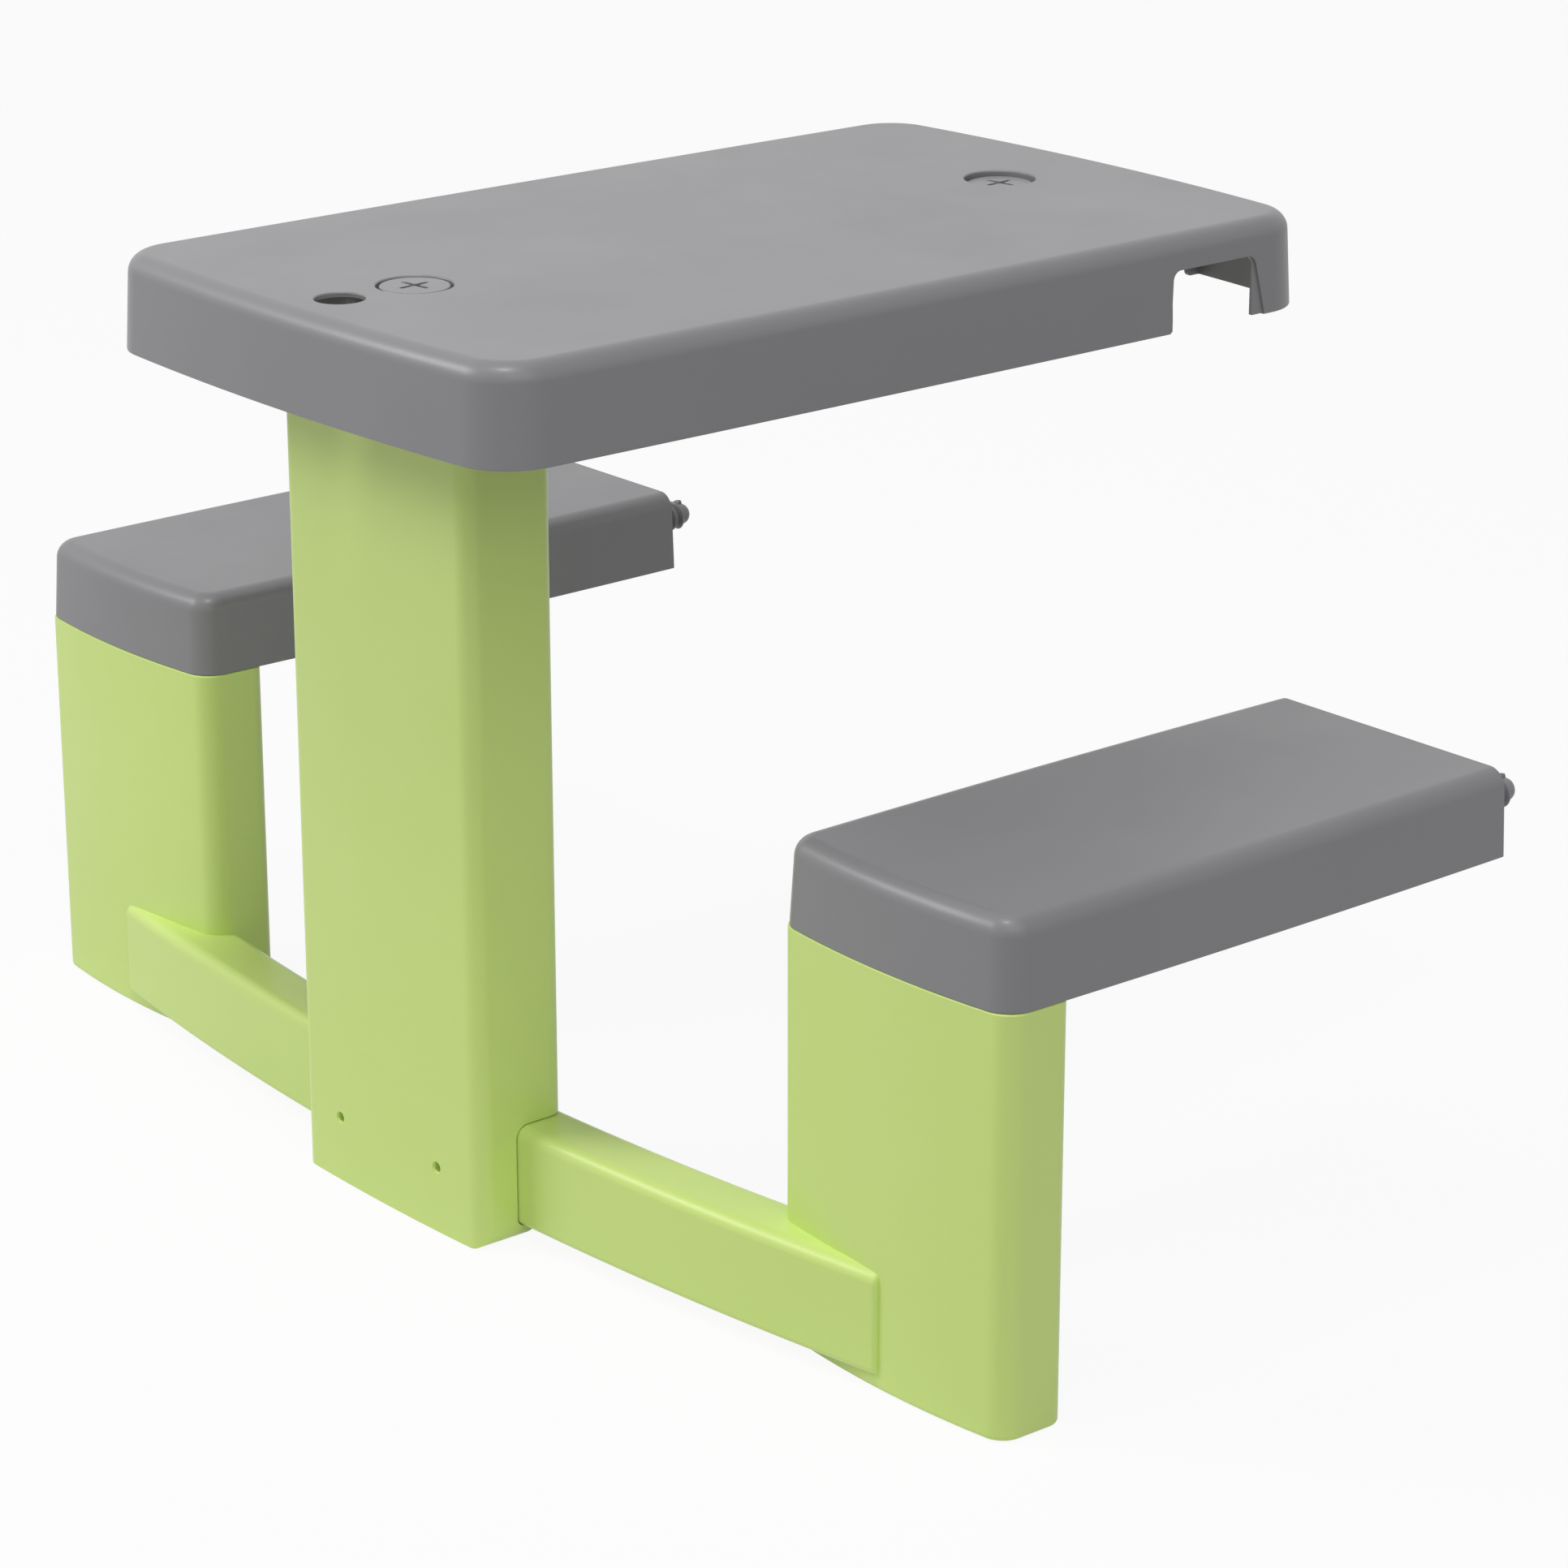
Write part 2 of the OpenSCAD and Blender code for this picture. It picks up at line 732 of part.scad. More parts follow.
// The left leg drawn in by an inset, with a round at its foot and a smaller one at its top
module leg(inset) {
    foot_r = leg_foot_r - inset / 2;
    top_r = foot_r / 3;
    translate([0, seat_offset, 0])
        hull() {
            for (i = [1:2])
                leg_slice(inset + foot_r * (1 - sin(45 * i)), inset + foot_r * (1 - cos(45 * i)));
            translate([0, 0, inset + foot_r])
                linear_extrude(seat_rim_z - 2 * inset - foot_r - top_r)
                    leg_plan(inset);
            leg_slice(seat_rim_z - inset - slice_t, inset + top_r);
        }
}

// Ledge behind a leg, level with the leg's top
module ledge() {
    translate([
        leg_back_x - base_wall,
        seat_offset - ledge_width / 2,
        seat_rim_z - ledge_t
    ])
        cube([ledge_length + base_wall, ledge_width, ledge_t]);
}

// Everything of the base frame on the left of its mid-line
module base_half() {
    difference() {
        union() {
            beam(0);
            leg(0);
            ledge();
        }
        difference() {
            union() {
                beam(-base_wall);
                leg(base_wall);
            }
            at_post_fixings([1])
                cylinder(d = fixing_d + 4 * boss_wall, h = 2 * beam_setback);
        }
        at_post_fixings([1])
            cylinder(d = fixing_d + 2 * fixing_play, h = driver_depth + post_fixing_length + boss_wall);
        translate([0, seat_offset, 0])
            at_seat_fixings()
                translate([0, 0, -ledge_t - overrun])
                    cylinder(d = fixing_d + 2 * hole_play, h = ledge_t + 2 * overrun);
        translate([post_x, -2 * beam_half, -overrun])
            cube([2 * seat_length, 2 * beam_half, 2 * seat_height]);
    }
}

module base_frame() {
    color("#b7cd7b") {
        base_half();
        mirror([0, 1, 0])
            base_half();
    }
}

// Large screws, turned by hand or with a wide driver

// Cross in a disc head: two slots that meet in a square well
module head_cross() {
    translate([0, 0, screw_head_t - cross_depth])
        rotate([0, 0, cross_turn])
            linear_extrude(cross_depth + overrun) {
                square([cross_length, cross_width], center = true);
                square([cross_width, cross_length], center = true);
                rotate(45)
                    square(cross_well, center = true);
            }
}

module large_screw(head_d, neck_length, length) {
    difference() {
        turned_screw(head_d, screw_head_t, screw_head_edge_r, screw_neck_d, neck_length,
            screw_d, length, screw_tip_r);
        head_cross();
    }
}

module table_post_screw() {
    color("#8e8d90")
        translate([post_screw_x, 0, top_height - post_cup_depth])
            large_screw(screw_head_d, cup_wall, screw_length);
}

module table_sill_screw() {
    color("#8e8d90")
        translate([sill_screw_x, 0, sill_cup_z])
            large_screw(screw_head_d, sill_cup_z - slot_top_z, screw_length);
}

// One large screw of a seat: which seat, and which side of its mid-line
module seat_screw(seat_side, screw_side) {
    color("#8e8d90")
        translate([0, seat_side * seat_offset, 0])
            at_seat_screws([screw_side])
                large_screw(seat_screw_head_d, seat_ring_t + seat_wall,
                    seat_ring_t + seat_wall + seat_screw_reach);
}

module seat_left_outer_screw() {
    seat_screw(1, 1);
}

module seat_left_inner_screw() {
    seat_screw(1, -1);
}

module seat_right_outer_screw() {
    seat_screw(-1, -1);
}

module seat_right_inner_screw() {
    seat_screw(-1, 1);
}

// Small self-tapping screws

module post_fixing_screws() {
    color("silver")
        at_post_fixings([-1, 1]) {
            translate([0, 0, driver_depth - fixing_head_t])
                cylinder(d = post_fixing_head_d, h = fixing_head_t);
            translate([0, 0, driver_depth])
                cylinder(d = fixing_d, h = post_fixing_length);
        }
}

module seat_fixing_screws() {
    color("silver")
        for (side = [-1, 1])
            translate([0, side * seat_offset, 0])
                at_seat_fixings() {
                    translate([0, 0, -ledge_t - fixing_head_t])
                        cylinder(d = seat_fixing_head_d, h = fixing_head_t);
                    translate([0, 0, -ledge_t])
                        cylinder(d = fixing_d, h = seat_fixing_length);
                }
}

table_top();
table_post();
base_frame();
seat(1);  // seat_left
seat(-1);  // seat_right
table_post_screw();
table_sill_screw();
seat_left_outer_screw();
seat_left_inner_screw();
seat_right_outer_screw();
seat_right_inner_screw();
post_fixing_screws();
seat_fixing_screws();
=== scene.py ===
import math

import bmesh
import bpy
from mathutils import Matrix, Vector


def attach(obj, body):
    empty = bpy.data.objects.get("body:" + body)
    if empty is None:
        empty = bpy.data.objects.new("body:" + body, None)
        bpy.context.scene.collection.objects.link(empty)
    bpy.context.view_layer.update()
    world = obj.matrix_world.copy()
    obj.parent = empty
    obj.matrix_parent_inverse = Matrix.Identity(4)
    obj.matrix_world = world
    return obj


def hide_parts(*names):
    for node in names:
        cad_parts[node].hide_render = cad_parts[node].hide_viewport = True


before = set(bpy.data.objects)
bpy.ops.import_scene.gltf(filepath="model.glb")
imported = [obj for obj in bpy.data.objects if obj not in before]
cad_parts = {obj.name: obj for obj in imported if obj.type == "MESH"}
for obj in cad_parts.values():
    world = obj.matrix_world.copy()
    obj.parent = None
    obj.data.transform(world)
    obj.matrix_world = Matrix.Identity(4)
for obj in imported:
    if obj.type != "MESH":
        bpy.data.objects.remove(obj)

scene = bpy.context.scene
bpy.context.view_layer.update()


# ---------------------------------------------------------------------------
# Camera, light and floor
# The table stands on a plain white studio floor. A small soft lamp hangs over
# its outer end, a bright panel stands on the left and a wide dim one in front,
# and the room is evenly lit.

scene.view_settings.view_transform = "Standard"

lens = bpy.data.cameras.new("camera")
lens.lens = 109.9
lens.sensor_width = 36
lens.clip_end = 100
camera = bpy.data.objects.new("camera", lens)
camera.location = (-1.5842, -1.9353, 1.0564)
camera.rotation_euler = (math.radians(70.84), 0, math.radians(-40.08))
scene.collection.objects.link(camera)
scene.camera = camera

light_target = Vector((0, 0, 0.3))
room_light, paper_lift = 0.245, 0.93
floor_reach, floor_drop = 20, 0.0002


def lamp(name, towards, away, width, height, share):
    """A soft panel aimed at the table from one side, where share is the light it adds as a part of white."""
    panel = bpy.data.lights.new(name, "AREA")
    panel.shape = "RECTANGLE"
    panel.size = width
    panel.size_y = height
    panel.energy = share * math.pi ** 2 * away ** 2
    stand = bpy.data.objects.new(name, panel)
    aim = Vector(towards).normalized()
    stand.location = aim * away + light_target
    stand.rotation_mode = "QUATERNION"
    stand.rotation_quaternion = aim.to_track_quat("Z", "Y")
    scene.collection.objects.link(stand)


lamp("overhead_lamp", (-0.26, -0.14, 0.955), 3.2, 0.6, 0.5, 0.30)
lamp("side_panel", (-0.61, 0.55, 0.57), 3.6, 1.5, 1.2, 0.345)
lamp("front_panel", (-0.28, -0.72, 0.64), 4.0, 3.0, 2.4, 0.195)


def add(tree, kind, inputs=None, **settings):
    """Adds a node, with its settings, and its inputs as values or as links."""
    node = tree.nodes.new(kind)
    for name, value in settings.items():
        setattr(node, name, value)
    for name, value in (inputs or {}).items():
        if isinstance(value, bpy.types.NodeSocket):
            tree.links.new(value, node.inputs[name])
        else:
            node.inputs[name].default_value = value
    return node


def colour(code):
    """An sRGB hex colour as the linear colour that a shader takes."""
    parts = [int(code[i:i + 2], 16) / 255 for i in (1, 3, 5)]
    return [c / 12.92 if c <= 0.04045 else ((c + 0.055) / 1.055) ** 2.4 for c in parts] + [1]


def seen_directly(tree):
    """1 for rays that come from the camera, a reflection or glass, and 0 for light that spreads."""
    ray = add(tree, "ShaderNodeLightPath")
    gloss = add(tree, "ShaderNodeMath", {0: ray.outputs["Is Glossy Ray"],
                                         1: ray.outputs["Is Transmission Ray"]}, operation="MAXIMUM")
    return add(tree, "ShaderNodeMath", {0: ray.outputs["Is Camera Ray"], 1: gloss.outputs[0]},
               operation="MAXIMUM").outputs[0]


def blank_material(name):
    """A new material, and its node tree with nothing in it yet."""
    material = bpy.data.materials.new(name)
    material.use_nodes = True
    material.node_tree.nodes.clear()
    return material, material.node_tree


def object_from(bm, name):
    """A finished bmesh as an object in the scene."""
    mesh = bpy.data.meshes.new(name)
    bm.to_mesh(mesh)
    bm.free()
    thing = bpy.data.objects.new(name, mesh)
    scene.collection.objects.link(thing)
    return thing


# Room: white where it is seen, and a dimmer even light where it falls on the table
room = bpy.data.worlds.new("studio room")
scene.world = room
room.use_nodes = True
tree = room.node_tree
tree.nodes.clear()
brightness = add(tree, "ShaderNodeMapRange", {"Value": seen_directly(tree), "To Min": room_light,
                                              "To Max": 1.0})
glow = add(tree, "ShaderNodeBackground", {"Color": colour("#ffffff"),
                                          "Strength": brightness.outputs["Result"]})
add(tree, "ShaderNodeOutputWorld", {"Surface": glow.outputs[0]})

# Floor: matt white paper, lifted to white for the camera so that only the table's shadow shows on
# it, and set a hair lower than the feet so that the two don't share a plane
bm = bmesh.new()
bmesh.ops.create_grid(bm, x_segments=8, y_segments=8, size=floor_reach,
                      matrix=Matrix.Translation((0, 0, -floor_drop)))
floor = object_from(bm, "floor")

matt_paper, tree = blank_material("matt white paper")
sheet = add(tree, "ShaderNodeBsdfDiffuse", {"Color": colour("#e1e1e1")})
lift = add(tree, "ShaderNodeEmission", {"Color": colour("#ffffff"), "Strength": 1.0})
lift_share = add(tree, "ShaderNodeMapRange", {"Value": seen_directly(tree), "To Min": 0.0,
                                              "To Max": paper_lift})
blend = add(tree, "ShaderNodeMixShader", {0: lift_share.outputs["Result"], 1: sheet.outputs[0],
                                          2: lift.outputs[0]})
add(tree, "ShaderNodeOutputMaterial", {"Surface": blend.outputs[0]})
floor.data.materials.append(matt_paper)


# ---------------------------------------------------------------------------
# Table top
# A tray turned upside down, moulded in grey polypropylene: a bowed outline, a
# rounded upper edge and a skirt. A slot in each long skirt straddles the wall
# of the playhouse, and ribs underneath carry the post's head and two cups.

MM = 0.001
play, overrun = 0.3, 4
# an outline's bows say how far each of its sides swells at the middle
top = dict(x_low=-284, x_high=284, half_y=173.5, corner_r=28.5, low_bow=8.3, high_bow=10.7,
           side_bow=1.45)
top_z, top_rim_z, top_edge_r, top_draft, top_wall = 500, 448.3, 10, 1.8, 2.6
rim_edge_r = 0.8
post = dict(x_low=-232.7, x_high=-173.8, half_y=80.2, corner_r=9.5, low_bow=2, high_bow=0, side_bow=0)
rib_t, rib_pitch, rib_half_run = 2.2, 66, 173
wall_x, wall_far_x, slot_top_z, slot_r, slot_half_run = 169.7, 229.5, 481.7, 5, 200
flare_near, flare_far, flare_top = 2.7, 9, 0.9
flange_t, flange_w, flange_lift = 2.5, 14, 0.6
gusset_y, gusset_run, gusset_r = 80, 12, 3
collar_depth = 22
parasol_x, parasol_r, parasol_edge_r = -246.2, 13, 0.9
cup_r, cup_wall, cup_neck_r, cup_edge_r = 20, 2.5, 14.2, 1.0
post_screw_x, post_cup_z, post_top_z = -200, 496.7, 494.2
sill_screw_x, sill_cup_z = 201.5, 494.4
# for each cup, its place along X, the height of its floor and that of what its boss stands on
cups = ((post_screw_x, post_cup_z, post_top_z), (sill_screw_x, sill_cup_z, slot_top_z))
shank_hole_r = 9.2
# the directions of a rounded corner in a half section
quarter_turn = [math.radians(15 * i) for i in range(7)]


def moulding(low_z, high_z, x_low, x_high, half_y, corner_r, low_bow, high_bow, side_bow,
             inset=0, draft=0, tail=0):
    """A block over a bowed outline with rounded corners. A tail runs on past the high end, to be cut off."""
    bm = bmesh.new()
    half_x, mid_x = (x_high - x_low) / 2 - inset, (x_high + x_low) / 2
    near, far = mid_x - half_x + low_bow, mid_x + half_x - high_bow
    side = half_y - inset - side_bow
    ring = [bm.verts.new((x, y, low_z)) for x, y in
            ((near, -side), (far + tail, -side), (far + tail, side), (near, side))]
    bm.faces.new(ring)
    r = corner_r - inset
    bmesh.ops.bevel(bm, geom=ring, offset=r, segments=12, profile=0.5, affect="VERTICES", material=-1)
    long_edges = [e for e in bm.edges if e.calc_length() > 2 * r]
    bmesh.ops.subdivide_edges(bm, edges=long_edges, cuts=15)
    for v in bm.verts:
        u, w = (v.co.x - mid_x) / (half_x - (low_bow if v.co.x < mid_x else high_bow)), v.co.y / side
        v.co.x += (high_bow if u > 0 else -low_bow) * min(abs(u), 1) * (1 - w * w)
        v.co.y += side_bow * w * (1 - u * u)
    raised = bmesh.ops.extrude_face_region(bm, geom=bm.faces[:])
    lifted = [v for v in raised["geom"] if isinstance(v, bmesh.types.BMVert)]
    bmesh.ops.translate(bm, verts=lifted, vec=(0, 0, high_z - low_z))
    bmesh.ops.scale(bm, verts=lifted, vec=(1 - draft / half_x, 1 - draft / half_y, 1),
                    space=Matrix.Translation((-mid_x, 0, 0)))
    return bm


def runs(edge, axis):
    """Whether an edge spans more than a millimetre along an axis, given as 0, 1 or 2."""
    return abs(edge.verts[0].co[axis] - edge.verts[1].co[axis]) > 1


def round_off(bm, edges, radius, steps):
    """Rounds edges to a radius, in so many steps."""
    bmesh.ops.bevel(bm, geom=edges, offset=radius, segments=steps, profile=0.5, affect="EDGES",
                    material=-1)


def soften(bm, where, radius, steps=8):
    """Rounds the edges whose two ends a test picks."""
    round_off(bm, [e for e in bm.edges if where(e.verts[0].co) and where(e.verts[1].co)], radius, steps)


def tray(outline, high_z, rim_z, edge_r, draft, inset, low_z, tail=0):
    """A drafted tray turned upside down, as a solid block with a rounded upper edge, drawn in by an inset."""
    high_z, edge_r = high_z - inset, edge_r - inset
    height = high_z - rim_z
    bm = moulding(low_z, high_z, **outline, inset=inset, draft=draft * height / (height - edge_r),
                  tail=tail)
    soften(bm, lambda p: p.z > high_z - 0.01, edge_r, 10)
    if inset == 0:
        soften(bm, lambda p: p.z < low_z + 0.01, rim_edge_r, 3)
    return bm


def prism(outline, half_run):
    """An outline in X and Z, run across the table by the same length to both sides."""
    bm = bmesh.new()
    bm.faces.new([bm.verts.new((x, -half_run, z)) for x, z in outline])
    run = bmesh.ops.extrude_face_region(bm, geom=bm.faces[:])
    far = [v for v in run["geom"] if isinstance(v, bmesh.types.BMVert)]
    bmesh.ops.translate(bm, verts=far, vec=(0, 2 * half_run, 0))
    return bm


def rod(radius, low, high):
    """Half section of a plain cylinder."""
    return [(0, low), (radius, low), (radius, high), (0, high)]


def rim(radius, edge_r):
    """Half section of a hole's softened mouth at the table's surface."""
    mouth = [(radius + edge_r * (1 - math.cos(a)), top_z - edge_r * (1 - math.sin(a)))
             for a in quarter_turn]
    return mouth + [(radius + edge_r, top_z + overrun), (0, top_z + overrun)]


def turned(profile, place=None, steps=64):
    """A closed turned shape: a half section as (radius, height) pairs from axis to axis, spun round Z."""
    bm = bmesh.new()
    verts = [bm.verts.new((r, 0, z)) for r, z in profile]
    edges = [bm.edges.new(pair) for pair in zip(verts, verts[1:])]
    bmesh.ops.spin(bm, geom=verts + edges, cent=(0, 0, 0), axis=(0, 0, 1), angle=math.tau, steps=steps,
                   use_merge=True)
    bmesh.ops.remove_doubles(bm, verts=bm.verts[:], dist=0.0001)
    bmesh.ops.transform(bm, matrix=place or Matrix(), verts=bm.verts[:])
    return bm


def bars(*spans):
    """Straight ribs, each between two corners."""
    bm = bmesh.new()
    for low, high in spans:
        middle = (Vector(low) + Vector(high)) / 2
        size = Vector(high) - Vector(low)
        bmesh.ops.create_cube(bm, size=1, matrix=Matrix.Translation(middle) @ Matrix.Diagonal((*size, 1)))
    return bm


def piece_from(bm, name):
    """A finished bmesh in millimetres as an object in metres."""
    bmesh.ops.recalc_face_normals(bm, faces=bm.faces[:])
    bmesh.ops.scale(bm, verts=bm.verts[:], vec=(MM, MM, MM))
    return object_from(bm, name)


def join_with(piece, how, *tools):
    """Cuts tools out of a piece, adds them to it or keeps what they share with it."""
    for tool in tools:
        step = piece.modifiers.new("step", "BOOLEAN")
        step.operation = how
        step.solver = "MANIFOLD"
        step.object = tool
    bpy.context.view_layer.update()
    shaped = bpy.data.meshes.new_from_object(piece.evaluated_get(bpy.context.evaluated_depsgraph_get()))
    piece.modifiers.clear()
    old, piece.data = piece.data, shaped
    shaped.name = piece.name
    bpy.data.meshes.remove(old)
    for tool in tools:
        bpy.data.objects.remove(tool)


def finish(piece, material, body, slot, *nodes):
    """Smooth shading with crisp corners, the finish, and the piece's place in the table."""
    mesh = piece.data
    mesh.shade_smooth()
    mesh.set_sharp_from_angle(angle=math.radians(35))
    even = piece.modifiers.new("even shading", "WEIGHTED_NORMAL")
    even.keep_sharp = True
    mesh.materials.clear()
    mesh.materials.append(material)
    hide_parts(*nodes)
    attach(piece, body)


def moulded_plastic(name, base, shade):
    """Injection moulded polypropylene: satin, with the fine spark-eroded grain of the mould, a faint
    cloudiness where the melt flowed, a sheen that varies a little with it, and a thin smoother skin
    that glints at corners."""
    material, tree = blank_material(name)
    place = add(tree, "ShaderNodeTexCoord").outputs["Object"]
    # flow clouds about 90 mm across
    flow = add(tree, "ShaderNodeTexNoise", {"Vector": place, "Scale": 1 / 0.09, "Detail": 3.0,
                                            "Roughness": 0.5})
    tint = add(tree, "ShaderNodeMix", {0: flow.outputs["Fac"], 6: colour(base), 7: colour(shade)},
               data_type="RGBA")
    # mould grain 0.02 mm deep: really about 0.3 mm wide, drawn 1.2 mm wide so that it shows
    grain = add(tree, "ShaderNodeTexNoise", {"Vector": place, "Scale": 1 / 0.0012, "Detail": 2.0,
                                             "Roughness": 0.6})
    relief = add(tree, "ShaderNodeBump", {"Height": grain.outputs["Fac"], "Strength": 0.25,
                                          "Distance": 0.02 * MM})
    sheen = add(tree, "ShaderNodeMapRange", {"Value": flow.outputs["Fac"], "From Min": 0.3, "From Max": 0.7,
                                             "To Min": 0.39, "To Max": 0.45})
    skin = add(tree, "ShaderNodeBsdfPrincipled", {"Base Color": tint.outputs[2], "IOR": 1.49,
                                                  "Roughness": sheen.outputs["Result"],
                                                  "Coat Weight": 0.1, "Coat Roughness": 0.2,
                                                  "Normal": relief.outputs["Normal"]})
    add(tree, "ShaderNodeOutputMaterial", {"Surface": skin.outputs[0]})
    return material


grey_polypropylene = moulded_plastic("grey moulded polypropylene", "#88878a", "#848386")


def top_block(name, inset, low_z):
    """The table top as a solid block, drawn in by an inset."""
    return piece_from(tray(top, top_z, top_rim_z, top_edge_r, top_draft, inset, low_z), name)


def slot_tool(name, corners):
    """A cut right across the table, with its two upper corners rounded."""
    bm = prism(corners, slot_half_run)
    round_off(bm, [e for e in bm.edges if runs(e, 1) and e.verts[0].co.z > slot_top_z - 1], slot_r, 8)
    return piece_from(bm, name)


table_top = top_block("table_top_moulding", 0, top_rim_z)

# Hollow, and the flared cut in the skirt, wider at the rim than at the top of the slot
flared_z = top_rim_z - overrun / 2
skirt_cut = slot_tool("skirt cut", ((wall_x - flare_near, flared_z), (wall_x, slot_top_z),
                                    (wall_far_x + flare_top, slot_top_z),
                                    (wall_far_x + flare_far, flared_z)))
join_with(table_top, "DIFFERENCE", top_block("hollow", top_wall, top_rim_z - overrun), skirt_cut)

# Ribs, flange plates beside the slot, gussets, and the bosses of the two cups
rib_x = post["x_high"] + play + rib_t
roof_z = top_z - top_wall / 2
skirt_lean = top_draft * (slot_top_z - top_rim_z) / (top_z - top_edge_r - top_rim_z)
plate_y = top["half_y"] - skirt_lean - top["side_bow"] / 2
gusset_x = top["x_high"] - top_wall - gusset_run
lengthways = bars(*[((rib_x, y - rib_t / 2, slot_top_z), (top["x_high"], y + rib_t / 2, roof_z))
                    for y in (i * rib_pitch for i in range(-2, 3))])
crossways = bars(*[((x, -rib_half_run, slot_top_z), (x + rib_t, rib_half_run, roof_z))
                   for x in (rib_x + i * rib_pitch for i in range(1, 7))])
plates = bars(*[((wall_x - flange_w, y - flange_t / 2, top_rim_z + flange_lift),
                 (wall_far_x + flange_w, y + flange_t / 2, roof_z))
                for y in (-plate_y + flange_t / 2, plate_y - flange_t / 2)])
gussets = bars(*[((gusset_x, y - rib_t / 2, top_rim_z), (top["x_high"], y + rib_t / 2, roof_z))
                 for y in (-gusset_y, gusset_y)])
soften(gussets, lambda p: p.x < gusset_x + 1 and p.z < top_rim_z + 1, gusset_r)
ribs = [piece_from(bm, "ribs") for bm in (lengthways, crossways, plates, gussets)]
for x, cup_z, seat_z in cups:
    boss = [(0, roof_z), (cup_r + cup_wall, roof_z), (cup_r + cup_wall, cup_z - cup_wall)]
    if cup_z - cup_wall > seat_z:
        boss += [(cup_neck_r, cup_z - cup_wall), (cup_neck_r, seat_z)]
    ribs.append(piece_from(turned(boss + [(0, boss[-1][1])], Matrix.Translation((x, 0, 0))), "boss"))

# Collar that runs round the head of the post
collar_z = post_top_z - collar_depth
collar = piece_from(moulding(collar_z, roof_z, **post, inset=-play - rib_t), "collar")
socket = piece_from(moulding(collar_z - overrun / 2, post_top_z, **post, inset=-play), "socket")
pole_way = piece_from(turned(rod(parasol_r + rib_t, top_rim_z - overrun, top_z - top_wall),
                             Matrix.Translation((parasol_x, 0, 0))), "pole way")
join_with(collar, "UNION", *ribs)
join_with(collar, "INTERSECT", top_block("inner shape", top_wall / 2, top_rim_z))
join_with(collar, "DIFFERENCE", socket, pole_way)
join_with(table_top, "UNION", collar)

# Slot for the wall, the parasol's hole and the two cups, each with its softened rim
slot_low_z = top_rim_z - overrun
holes = [slot_tool("slot cut", ((wall_x, slot_low_z), (wall_x, slot_top_z), (wall_far_x, slot_top_z),
                                (wall_far_x, slot_low_z)))]
hole = [(0, top_z - 2 * overrun), (parasol_r, top_z - 2 * overrun)] + rim(parasol_r, parasol_edge_r)
holes.append(piece_from(turned(hole, Matrix.Translation((parasol_x, 0, 0))), "parasol hole"))
for x, cup_z, seat_z in cups:
    shank_way = [(0, seat_z - overrun), (shank_hole_r, seat_z - overrun), (shank_hole_r, cup_z)]
    cup = shank_way + [(cup_r, cup_z)] + rim(cup_r, cup_edge_r)
    holes.append(piece_from(turned(cup, Matrix.Translation((x, 0, 0))), "cup"))
join_with(table_top, "DIFFERENCE", *holes)
finish(table_top, grey_polypropylene, "table", "grey_plastic", "table_top")


# ---------------------------------------------------------------------------
# Large screws of the table
# Two screws turned by hand or with a coin, moulded in the same grey plastic
# with a coarse thread. One holds the top to the post and one goes down into
# the wall. Each disc head sits in its cup and has a slotted cross.

screw_grey = moulded_plastic("grey moulded polypropylene of the screws", "#8a898c", "#868588")
table_head_r, table_shank = 18.2, 38
head_t, head_edge_r, head_dome, head_seat_edge = 3, 0.7, 0.15, 0.3
crest_r, root_r, core_r, neck_r, neck_taper, pitch = 8.75, 5.7, 6.3, 8.2, 1.2, 5.6
tip_run, thread_over_tip, thread_under_neck = 5, 5.5, 2.2
cross_arm, cross_width, cross_depth, cross_over, cross_turn = 20.4, 2.8, 1.9, 0.4, 6
cross_slope, well_share, corner_share = 1.6, 1.9, 0.4


def cross_recess(arm, width, floor_z, mouth_z, angle):
    """The cross that a driver fits: two slots with sloped round ends, and the square well where they meet."""
    well = width * well_share
    cuts = []
    for turn, length, breadth, slope in ((angle, arm, width, cross_slope),
                                         (angle + 90, arm, width, cross_slope),
                                         (angle + 45, well, well, 0)):
        bm = bars(((-length / 2, -breadth / 2, floor_z), (length / 2, breadth / 2, mouth_z)))
        low = [v for v in bm.verts if v.co.z < mouth_z]
        bmesh.ops.scale(bm, verts=low, vec=(1 - 2 * slope / length, 1, 1))
        round_off(bm, [e for e in bm.edges if runs(e, 2)], corner_share * width, 4)
        bmesh.ops.rotate(bm, verts=bm.verts[:], cent=(0, 0, 0),
                         matrix=Matrix.Rotation(math.radians(turn), 3, "Z"))
        cuts.append(piece_from(bm, "slot of the cross"))
    return cuts


def thread(ridge, start_z, pitch, turns, steps_a_turn):
    """A ridge that climbs round Z: its section as (radius, height) pairs, and how far it goes round."""
    bm = bmesh.new()
    section = bm.faces.new([bm.verts.new((x, 0, z + start_z)) for x, z in ridge])
    steps = round(steps_a_turn * turns)
    bmesh.ops.spin(bm, geom=section.verts[:] + section.edges[:] + [section], cent=(0, 0, 0), axis=(0, 0, 1),
                   angle=math.tau * turns, dvec=(0, 0, pitch * turns / steps), steps=steps)
    return piece_from(bm, "thread")


def set_in(screw, place):
    """Moves a screw that was made upright on the origin to its place, given in millimetres."""
    screw.data.transform(Matrix.Scale(MM, 4) @ place @ Matrix.Scale(1 / MM, 4))


